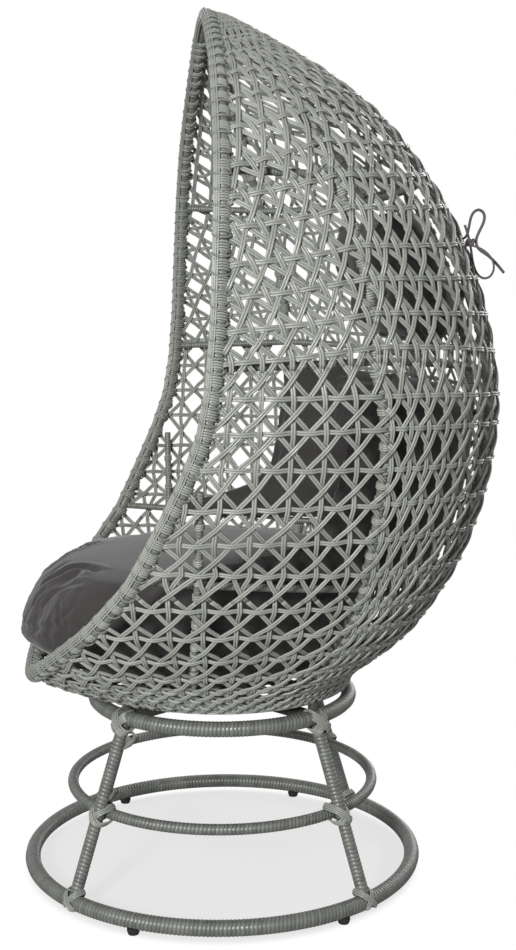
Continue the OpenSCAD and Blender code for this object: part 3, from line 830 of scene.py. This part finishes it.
# %% Wind the basket's frame
# Each rib has its direction at any level, its first and last level, its radius and the
# depth of its middle line below the surface.
SKIN, RIB_R, HOOP_R = 0.003, 0.008, 0.0065
RIB_DEPTH = SKIN + RIB_R + 0.0005
HOOP_DEPTH = SKIN + 2 * RIB_R + HOOP_R + 0.0003
RIBS = {"spine": (lambda s: s * 0, 0.9, 17.5, RIB_R, RIB_DEPTH)}
for hand, side in HANDS:
    RIBS["rear_rib_" + hand] = (lambda s: s * 0 + REAR_ANGLE, 0.6, 17.2, RIB_R, RIB_DEPTH)
    RIBS["side_rib_" + hand] = (side_angle, 0.45, 16.9, RIB_R, RIB_DEPTH)
    RIBS["front_rib_" + hand] = (lambda s: angle_at(s, -76.0), 0.4, 8.35, HOOP_R,
                                 SKIN + HOOP_R + 0.004)
RIM_CORE, RIM_DEPTH = 0.0108, 0.006
RIM_TOP = TOP - 0.35
RIM_LEVELS = CHIN + (RIM_TOP - CHIN) * (1 - np.cos(np.linspace(0, math.pi, 400))) / 2


def rim_frame():
    """The rim's middle line once round, with directions along, off the weave and outward."""
    angle = rim_angle(RIM_LEVELS)
    line, out = under(RIM_LEVELS, angle, RIM_DEPTH), outward(RIM_LEVELS, angle)
    line[0, 0] = line[-1, 0] = 0
    line = np.vstack([line, line[-2:0:-1] * MIRROR])
    out = np.vstack([out, out[-2:0:-1] * MIRROR])
    along = unit(np.roll(line, -1, axis=0) - np.roll(line, 1, axis=0))
    off = unit(np.cross(along, out))
    return line, along, off * np.sign(-off[:, 1:2] - 1e-9), unit(out)


for node, (direction, first, last, thick, depth) in RIBS.items():
    s = np.linspace(first, last, 260)
    path = under(s, direction(s), depth) * (MIRROR if node.endswith("left") else 1)
    wound_tube("wound_" + node, path, thick, node, pitch=FINE_TURN)
HOOPS = {"hoop_lower": (7.03, 6.64, 6.5), "hoop_middle": (10.05, 10.13, 9.88),
         "hoop_upper": (12.98, 12.93, 13.04)}
for node, ends in HOOPS.items():
    reach = float(rim_angle(ends[0])) - 1
    angle = np.linspace(-reach, reach, 320)
    level = hoop_level(np.tile(ends, (320, 1)), angle)
    wound_tube("wound_" + node, under(level, angle, HOOP_DEPTH), HOOP_R, node, pitch=FINE_TURN)
RIM_LINE, RIM_ALONG, RIM_OFF, RIM_OUT = rim_frame()
wound_tube("wound_rim", RIM_LINE, RIM_CORE, "rim", closed=True, pitch=FINE_TURN,
           slot="wicker_dark")
print("basket frame wound")

# %% [markdown]
# ## Turns round the ribs
# Wherever a row of the weave crosses a rib, its canes go round the rib a few times before
# they run on. Each turn is a small closed ring of cane, and the rings of one rib are one
# mesh.

# %% Wrap the ribs
RIB_TURN, RIM_TURN, LASH_TURN = 0.0037, 0.0039, 0.0036  # from one turn to the next
DIAGONAL_TURNS = 3
WRAP_OUT, WRAP_LEAN = 0.0005, 0.0006


def hoops_round(centres, along, aside, radius, lean, count=10):
    """A ring of points round each centre. lean slides one side of a ring along the tube."""
    along = unit(np.asarray(along, float))
    a = unit(aside - along * (aside * along).sum(-1, keepdims=True))
    b = np.cross(along, a)
    turn = np.linspace(0, 2 * math.pi, count, endpoint=False)[None, :, None]
    return (centres[:, None] + radius * (np.cos(turn) * a[:, None] + np.sin(turn) * b[:, None])
            + lean * np.sin(turn) * along[:, None])


def wrap_rib(node):
    """Close turns where a row crosses the rib, and fewer where the diagonals do."""
    direction, first, last, thick, depth = RIBS[node]
    s = np.linspace(first, last, 900)
    path = under(s, direction(s), depth)
    run = run_length(path)
    column, close = (2, 4) if node == "spine" else (1, 5)
    levels = np.interp(np.arange(1, LAST_ROW, 0.5), np.arange(LAST_ROW + 1), LINES[:, column])
    at = []
    for k, level in enumerate(levels):
        if first + 0.3 < level < last - 0.2:
            here, turns = np.interp(level, s, run), close if k % 2 == 0 else DIAGONAL_TURNS
            at += [here + (n - (turns - 1) / 2) * RIB_TURN for n in range(turns)]
    at = np.array(at)
    centres = np.stack([np.interp(at, run, path[:, k]) for k in range(3)], 1)
    ahead = np.stack([np.interp(at + 0.002, run, path[:, k]) for k in range(3)], 1)
    aside = outward(np.interp(at, run, s), direction(np.interp(at, run, s)))
    rings = hoops_round(centres, ahead - centres, aside, thick + WRAP_OUT, WRAP_LEAN)
    if node.endswith("left"):
        rings = rings * MIRROR
    piece = tubes("turns_" + node, list(rings), TURN_R, closed=True,
                  tint_of=[int(t) for t in rng.integers(0, 3, len(rings))])
    return finish_piece(piece, cane_mats, "wicker")


for node in RIBS:
    wrap_rib(node)
print("ribs wrapped:", len(RIBS))

# %% [markdown]
# ## The rim
# The rim is the strongest line of the basket. Seven canes run along its outer and front
# face, bound down by single turns, and behind them the ends of the weave are bound to the
# tube in bunches of slanting turns.

# %% Bind the rim
def rim_points(turn, radius):
    """A line along the rim at a direction round it: 0 faces off the weave, 90 outward."""
    a = math.radians(turn)
    return RIM_LINE + radius * (math.cos(a) * RIM_OFF + math.sin(a) * RIM_OUT)


# Distances from the rim's middle line, how far the turns slant, and the bunches' spacing
# at the chin, where no rows end at the rim.
LONG_CANES, BUNCHES, TIES = 0.0130, RIM_CORE + 0.0012, 0.0148
BUNCH_LEAN, TIE_LEAN = 0.004, -0.007
CHIN_STEP = 0.03
lengthwise = [resample(rim_points(turn, LONG_CANES), 0.008, True)
              for turn in (-46, -28, -10, 8, 26, 44, 62)]
piece = tubes("rim_long_canes", lengthwise, TURN_R, closed=True,
              tint_of=[DARK, DARK, DEEP, DARK, DARK, DEEP, DARK])
finish_piece(piece, cane_mats, "wicker")

rim_run = run_length(RIM_LINE)
half = len(RIM_LINE) // 2
row_levels = np.interp(np.arange(2, LAST_ROW + 0.1, 0.5), np.arange(LAST_ROW + 1), LINES[:, 0])
row_run = np.interp(row_levels, RIM_LEVELS, rim_run[:len(RIM_LEVELS)])
row_run = np.concatenate([np.arange(0.01, row_run[1] - CHIN_STEP, CHIN_STEP), row_run])


def rim_turns(at, radius, lean):
    """Slanting turns round the rim at places along it, on both sides."""
    pick = np.clip(np.searchsorted(rim_run, at), 0, half)
    centres = np.stack([np.interp(at, rim_run, RIM_LINE[:, k]) for k in range(3)], 1)
    rings = hoops_round(centres, RIM_ALONG[pick], RIM_OFF[pick], radius, lean, 12)
    return list(rings) + list(rings * MIRROR)


bunch = np.concatenate([row_run + (n - 1.5) * RIM_TURN for n in range(4)])
rings = rim_turns(bunch[bunch > 0], BUNCHES, BUNCH_LEAN)
piece = tubes("rim_bunches", rings, TURN_R, closed=True,
              tint_of=[int(t) for t in rng.integers(0, 3, len(rings))])
finish_piece(piece, cane_mats, "wicker")
rings = rim_turns(row_run[1:] - 0.006, TIES, TIE_LEAN)
piece = tubes("rim_ties", rings, TURN_R * 0.9, closed=True)
finish_piece(piece, [cane_mats[DEEP]], "wicker")
print("rim bound with", len(bunch) * 2, "turns")

# %% [markdown]
# ## Lashings on the base
# Each leg is lashed to the rings with canes that cross over the joint on both diagonals.
# A lashing is a set of parallel rounded loops that go round the leg and the ring together.

# %% Lash the joints
def lashing(centre, radial, tangent, upright, reach, spread, count, lift):
    """Loops round a joint on both diagonals."""
    loops = []
    for k, lean in enumerate((1, -1)):
        across, beside = unit(tangent + lean * upright), unit(tangent - lean * upright)
        for n in range(count):
            shift = (n - (count - 1) / 2) * LASH_TURN
            t = np.linspace(0, 2 * math.pi, 28, endpoint=False)[:, None]
            shrink = math.sqrt(1 - (abs(shift) / (count * LASH_TURN)) ** 2)
            wide = signed_power(np.cos(t), 0.8) * across * (spread + k * lift)
            deep = signed_power(np.sin(t), 0.8) * radial * (reach + k * lift) * shrink
            loops.append(centre + beside * shift + wide + deep)
    return loops


# Each joint on a leg: distance from the base's middle, height, and the lashing's reach,
# spread, loops on each diagonal and lift of the upper diagonal.
JOINTS = [(0.2405, 0.319, 0.0165, 0.022, 5, 0.0026), (0.291, 0.163, 0.0215, 0.0185, 4, 0.0026),
          (0.356, 0.028, 0.0155, 0.019, 3, 0.002)]
UP = np.array([0.0, 0.0, 1.0])
loops = []
for angle in LEGS.values():
    radial = unit(base_point(angle, 1.0, 0) - base_point(angle, 0.0, 0))
    tangent = np.cross(UP, radial)
    leg = unit(base_point(angle, *LEG_HEAD) - base_point(angle, *LEG_FOOT))
    for radius, z, *shape in JOINTS:
        loops += lashing(base_point(angle, radius, z), radial, tangent, leg, *shape)
piece = tubes("base_lashings", loops, TURN_R, closed=True,
              tint_of=[DARK if n % 2 else DEEP for n in range(len(loops))])
finish_piece(piece, cane_mats, "wicker")
print("lashings:", len(loops), "loops")

# %% [markdown]
# ## The basket's bottom
# Inside the seat ring the basket is closed by a flat disc of the same weave, and three
# canes run round its lower edge. The disc is hardly seen, but it shows from below.

# %% Weave the bottom
DISC_R, DISC_Z, PITCH_XY = 0.214, 0.3515, 0.05


def chord(offset, angle, lift):
    """A straight strand across the disc, at an offset from the middle."""
    reach = math.sqrt(max(DISC_R ** 2 - offset ** 2, 0))
    t = np.linspace(-reach, reach, max(4, int(2 * reach / PITCH_XY * 6)))
    a = math.radians(angle)
    along = np.array([math.cos(a), math.sin(a), 0])
    beside = np.array([-math.sin(a), math.cos(a), 0])
    flat = t[:, None] * along + offset * beside
    phase = np.cos(2 * np.pi * flat[:, 0] / PITCH_XY)
    return flat + [0, BASE_Y, 0] + UP * (DISC_Z + lift * phase)[:, None]


straight = [(n * PITCH_XY, angle, lift) for n in range(-4, 5)
            for angle, lift in ((0, 0.0015), (90, -0.001))]
leaning = [((n + 0.5) * PITCH_XY / math.sqrt(2), angle, lift) for n in range(-5, 5)
           for angle, lift in ((45, 0.0022), (-45, -0.0022))]
lines = []
for offset, angle, lift in straight + leaning:
    strand = chord(offset, angle, lift)
    lines += double_cane(strand, np.tile(UP, (len(strand), 1)))
piece = tubes("cane_bottom", lines, TURN_R, tint_of=[n % 3 for n in range(len(lines))])
finish_piece(piece, cane_mats, "wicker_dark", "weave_bottom")
BAND_R, BAND_Z = 0.2365, 0.3525
band = [resample(ring_path(BAND_R + 0.001 * n, BAND_Z + 0.0034 * n), 0.01, True)
        for n in range(3)]
piece = tubes("cane_bottom_band", band, TURN_R, closed=True, tint_of=[MID, PALE, DEEP])
finish_piece(piece, cane_mats, "wicker")
print("bottom woven from", len(lines), "canes")

# %% [markdown]
# ## The cushions
# Each cushion is a stuffed cloth case, drawn in at its sewn tufts. The CAD pad gives the
# size. Its mesh is remeshed evenly and blown up a little with Blender's cloth, while the
# tufts and the side that lies against the basket are held. The folds that run to the tufts
# and the seam are pressed in afterwards, because the remesh would lose them.

# %% Write the cushion helpers
CLOTH_FRAMES, PRESSURE = 20, 4.0
SHRINK = 0.004
FINE_ENOUGH = 20000  # faces, above which a cushion isn't subdivided
NEAR, SWELL = 0.4, 0.35  # how far a fold may reach, and the swelling beside it
FORM_GRID = 120


def vertex_array(mesh, what="co"):
    values = np.empty(3 * len(mesh.vertices))
    mesh.vertices.foreach_get(what, values)
    return values.reshape(-1, 3)


def place_vertices(mesh, co):
    mesh.vertices.foreach_set("co", co.ravel())
    mesh.update()


def ramp(values, first, width):
    """Rises from 0 to 1 over a width."""
    return np.clip((values - first) / width, 0, 1)


def swap_mesh(piece, mesh):
    old, name = piece.data, piece.data.name
    piece.modifiers.clear()
    piece.data = mesh
    bpy.data.meshes.remove(old)
    mesh.name = name


def remeshed_pad(name, node, voxel):
    """The CAD pad as one even mesh, a little smaller."""
    bm = bmesh.new()
    bm.from_mesh(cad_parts[node].data)
    bmesh.ops.remove_doubles(bm, verts=bm.verts, dist=1e-5)
    mesh = bpy.data.meshes.new(name)
    bm.to_mesh(mesh)
    bm.free()
    piece = linked(name, mesh)
    remesh = piece.modifiers.new("remesh", "REMESH")
    remesh.mode, remesh.voxel_size = "VOXEL", voxel
    smooth = piece.modifiers.new("smooth", "SMOOTH")
    smooth.factor, smooth.iterations = 0.5, 6
    swap_mesh(piece, evaluated_mesh(piece))
    co = vertex_array(piece.data) - vertex_array(piece.data, "normal") * SHRINK
    piece.data.vertices.foreach_set("co", co.ravel())
    return piece


def puff(piece, held, cap):
    """Blows a pad up with cloth and air, and limits how far a point may move."""
    before = vertex_array(piece.data)
    group = piece.vertex_groups.new(name="held")
    group.add([int(k) for k in np.flatnonzero(held)], 1.0, "REPLACE")
    cloth_mod = piece.modifiers.new("cloth", "CLOTH")
    settings = cloth_mod.settings
    settings.quality, settings.mass = 6, 0.3
    settings.tension_stiffness = settings.compression_stiffness = 12
    settings.shear_stiffness, settings.bending_stiffness = 6, 0.4
    settings.use_pressure, settings.uniform_pressure_force = True, PRESSURE
    settings.vertex_group_mass = "held"
    settings.effector_weights.gravity = 0
    cache = cloth_mod.point_cache
    cache.frame_start, cache.frame_end = 1, CLOTH_FRAMES
    for number in range(1, CLOTH_FRAMES + 1):
        bpy.context.scene.frame_set(number)
    swap_mesh(piece, evaluated_mesh(piece))
    bpy.context.scene.frame_set(1)
    piece.vertex_groups.clear()
    move = vertex_array(piece.data) - before
    size = np.linalg.norm(move, axis=1, keepdims=True)
    move *= np.minimum(1, cap / np.maximum(size, 1e-9))
    place_vertices(piece.data, before + move)
    return float(np.linalg.norm(move, axis=1).max())


def press_folds(piece, folds):
    """Presses narrow folds into a cushion: each is a line, a depth and a width."""
    co, normal = vertex_array(piece.data), vertex_array(piece.data, "normal")
    tree = BVHTree.FromPolygons([tuple(p) for p in co],
                                [tuple(p.vertices) for p in piece.data.polygons])
    total = np.zeros(len(co))
    for points, depth, width in folds:
        on = [tree.find_nearest(p)[0] for p in resample(smooth_path(points), PATH_STEP)]
        kd = KDTree(len(on))
        for k, p in enumerate(on):
            kd.insert(p, k)
        kd.balance()
        ends = np.linspace(0, 1, len(on))
        fade = np.sqrt(np.clip(np.minimum(ends, 1 - ends) * 8, 0.0, 1))
        middle = np.mean([list(p) for p in on], 0)
        for v in np.flatnonzero(np.linalg.norm(co - middle, axis=1) < NEAR):
            _, k, d = kd.find(co[v])
            if d < 5 * width:
                dip = math.exp(-(d / width) ** 2)
                dip -= SWELL * math.exp(-((d - 2.2 * width) / width) ** 2)
                total[v] = max(total[v], depth * dip * fade[k], key=abs)
    place_vertices(piece.data, co - normal * total[:, None])


def finish_cushion(piece, node):
    subdivide = piece.modifiers.new("subdivide", "SUBSURF")
    levels = 0 if len(piece.data.polygons) > FINE_ENOUGH else 1
    subdivide.levels = subdivide.render_levels = levels
    piece.data.polygons.foreach_set("use_smooth", [True] * len(piece.data.polygons))
    finish_piece(piece, [cloth], "cushion_fabric", node)
    print(piece.name, len(piece.data.polygons), "faces")


FORM_TREE = KDTree(FORM_GRID * FORM_GRID)
for a, s in enumerate(np.linspace(0.5, 17, FORM_GRID)):
    around = np.linspace(-179, 179, FORM_GRID)
    for b, p in enumerate(form_point(np.full(FORM_GRID, s), around)):
        FORM_TREE.insert(p, a * FORM_GRID + b)
FORM_TREE.balance()


def depth_inside(co):
    """How deep each point lies inside the basket's surface, roughly."""
    return np.array([FORM_TREE.find(p)[2] for p in co])


print("cushion helpers ready")

# %% Stuff the back and head cushions
# Each pad has its mesh step, lowest and highest level, half angle, depth of its face below
# the basket's surface, and tuft columns and rows. Three short folds cross at each tuft.
PADS = (("cushion_back", 0.0058, 6.6, 9.7, 72, 0.110, 6, 3),
        ("cushion_head", 0.005, 10.4, 12.95, 27, 0.130, 3, 2))
BACKING, TUFT_DEPTH, TUFT_R = 0.048, 0.024, 0.012
FOLDS_AT_TUFT = ((0.4, 0), (0, 4), (0.3, 3))
FOLD_DEPTH, FOLD_WIDTH, WING_SAG = 0.006, 0.005, 0.014
for node, voxel, low, high, half_angle, deep, across, up in PADS:
    piece = remeshed_pad(node + "_case", node, voxel)
    co = vertex_array(piece.data)
    held = depth_inside(co) < BACKING
    folds = []
    if node == "cushion_back":
        wing = ramp(abs(co[:, 0]), 0.12, 0.08) * ramp(-co[:, 2], -0.74, 0.10)
        co[:, 2] -= WING_SAG * wing
        piece.data.vertices.foreach_set("co", co.ravel())
    for i in range(across + 1):
        for j in range(up + 1):
            s, angle = low + (high - low) * j / up, half_angle * (2 * i / across - 1)
            tuft = under(s, angle, deep - TUFT_DEPTH)
            held |= np.linalg.norm(co - tuft, axis=1) < TUFT_R
            for ds, da in FOLDS_AT_TUFT:
                ends = [under(s + k * ds, angle + k * da, deep) for k in (-1, 0, 1)]
                folds.append((np.vstack(ends), FOLD_DEPTH, FOLD_WIDTH))
    print(node, "moved", round(puff(piece, held, 0.012), 4))
    press_folds(piece, folds)
    finish_cushion(piece, node)

# %% Stuff the seat cushion
# The seat's rear is a little fuller, and its lower edge and what lies near the basket are
# held. Each fold has its points, depth and width in millimetres, and is pressed in on both
# sides.
REAR_RISE, HELD_BELOW, SEAT_BACKING = 0.010, 0.46, 0.03
SEAT_FOLDS = [
    ([[73, -389, 558], [68, -372, 568], [79, -346, 577], [84, -318, 581], [114, -293, 583],
      [155, -276, 583]], 7, 7),
    ([[0, -425, 472], [83, -417, 476], [164, -386, 496], [209, -357, 507], [235, -335, 510],
      [257, -310, 510]], 4, 5),
    ([[128, -392, 524], [133, -373, 551], [149, -342, 569], [188, -305, 577]], 4, 6),
    ([[83, -410, 516], [85, -398, 541], [100, -378, 561]], 4, 6),
    ([[201, -360, 513], [206, -358, 513], [211, -356, 513]], 9, 7),
    ([[206, -358, 513], [224, -341, 536], [228, -329, 554]], 4, 4),
    ([[206, -358, 513], [202, -358, 532], [186, -358, 547]], 4, 4),
    ([[206, -358, 513], [221, -347, 504], [228, -339, 493]], 4, 4)]
seat = remeshed_pad("cushion_seat_case", "cushion_seat", 0.0054)
co = vertex_array(seat.data)
held = (co[:, 2] < HELD_BELOW) | (depth_inside(co) < SEAT_BACKING)
co[:, 2] += REAR_RISE * ramp(co[:, 1], -0.20, 0.10) * ramp(co[:, 2], 0.5, 0.08)
seat.data.vertices.foreach_set("co", co.ravel())
print("seat moved", round(puff(seat, held, 0.010), 4))
folds = [(np.array(points) * side * MM, depth * MM, width * MM)
         for points, depth, width in SEAT_FOLDS for _, side in HANDS]
press_folds(seat, folds)
finish_cushion(seat, "cushion_seat")

# %% [markdown]
# ## Finish on the carried-over parts
# The steel cross, the stubs and the glides keep their CAD shape and get a powder coat or a
# moulded plastic.

# %% Coat the steel and the glides
COATS = {"cushion": cloth, "glide": plastic}
for node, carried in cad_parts.items():
    carried.data.materials.clear()
    carried.data.materials.append(COATS.get(node.split("_")[0], steel))
print("carried-over parts coated")

# %% [markdown]
# ## Floor, light and world
# Inside the floor ring the floor is pale grey: its glow toward the camera is turned down as
# painted shade under the chair, with some of the chair's real soft shadow mixed in, and it turns
# white under the ring. One lamp on the right, a little ahead of the chair, gives the canes their
# bright edges, one behind it lights the back, and two weak ones fill in.

# %% Light the scene
def lamp(name, size, power, place, target=(0, -0.05, 0.8)):
    data = bpy.data.lights.new(name, "AREA")
    data.shape, data.size, data.energy = "DISK", size, power
    light = linked(name, data)
    light.location = place
    light.rotation_euler = (Vector(target) - Vector(place)).to_track_quat("-Z", "Y").to_euler()


LAMPS = {"key": (0.8, 190, (3.7, -1.75, 1.8)), "top": (2.0, 5, (0.6, 0.4, 3.9)),
         "fill": (2.5, 3, (2.6, 1.8, 1.6)), "rear": (2.5, 70, (-2.4, 2.6, 2.0))}
for name, (size, power, place) in LAMPS.items():
    lamp("lamp_" + name, size, power, place)

world = bpy.data.worlds.new("studio")
bpy.context.scene.world = world
world.use_nodes = True
tree = world.node_tree
tree.nodes.clear()
path = add(tree, "ShaderNodeLightPath")
seen = math_node(tree, "MAXIMUM", path.outputs["Is Camera Ray"], path.outputs["Is Glossy Ray"])
seen = math_node(tree, "MAXIMUM", seen, path.outputs["Is Transmission Ray"])
WHITE = (1, 1, 1, 1)
soft = add(tree, "ShaderNodeBackground", {"Color": WHITE, "Strength": 0.07})
white = add(tree, "ShaderNodeBackground", {"Color": WHITE, "Strength": 1.0})
mix = add(tree, "ShaderNodeMixShader", {0: seen, 1: soft.outputs[0], 2: white.outputs[0]})
add(tree, "ShaderNodeOutputWorld", {0: mix.outputs[0]})
print("lamps:", len(bpy.data.lights))

# %% Lay the floor
FLOOR_R = 9.0
# Inside the floor ring the floor glows a little less toward the camera: painted shade under the
# chair.
PAINTED_SHADE_TO, WHITE_FROM = 0.350, 0.378  # distance from the base's middle
PAINTED_SHADE_GLOW, GLOW_SHARE = 0.90, 0.8
bm = bmesh.new()
bmesh.ops.create_circle(bm, cap_ends=True, segments=96, radius=FLOOR_R)
mesh = bpy.data.meshes.new("floor")
bm.to_mesh(mesh)
bm.free()
floor = linked("floor", mesh)
floor_mat = bpy.data.materials.new("floor_paint")
floor_mat.use_nodes = True
tree = floor_mat.node_tree
paint = tree.nodes["Principled BSDF"]
paint.inputs["Base Color"].default_value = (0.55, 0.55, 0.55, 1)
paint.inputs["Roughness"].default_value = 0.9
coords = add(tree, "ShaderNodeTexCoord")
away = add(tree, "ShaderNodeVectorMath", {0: coords.outputs["Object"], 1: (0, BASE_Y, 0)},
           operation="DISTANCE")
fade = add(tree, "ShaderNodeMapRange",
           {"Value": away.outputs["Value"], 1: PAINTED_SHADE_TO, 2: WHITE_FROM},
           interpolation_type="SMOOTHSTEP")
path = add(tree, "ShaderNodeLightPath")
# Painted shade: the glow is 0.9 inside the ring and 1.0 outside it.
plain = add(tree, "ShaderNodeMapRange", {"Value": fade.outputs[0], 3: PAINTED_SHADE_GLOW, 4: 1.0})
share = add(tree, "ShaderNodeMapRange", {"Value": fade.outputs[0], 3: GLOW_SHARE, 4: 1.0})
share = math_node(tree, "MULTIPLY", share.outputs[0], path.outputs["Is Camera Ray"])
glow = add(tree, "ShaderNodeEmission", {"Color": WHITE, "Strength": plain.outputs[0]})
mix = add(tree, "ShaderNodeMixShader", {0: share, 1: paint.outputs[0], 2: glow.outputs[0]})
tree.links.new(mix.outputs[0], tree.nodes["Material Output"].inputs["Surface"])
floor.data.materials.append(floor_mat)
bpy.context.scene.view_settings.view_transform = "Standard"
print("floor laid")
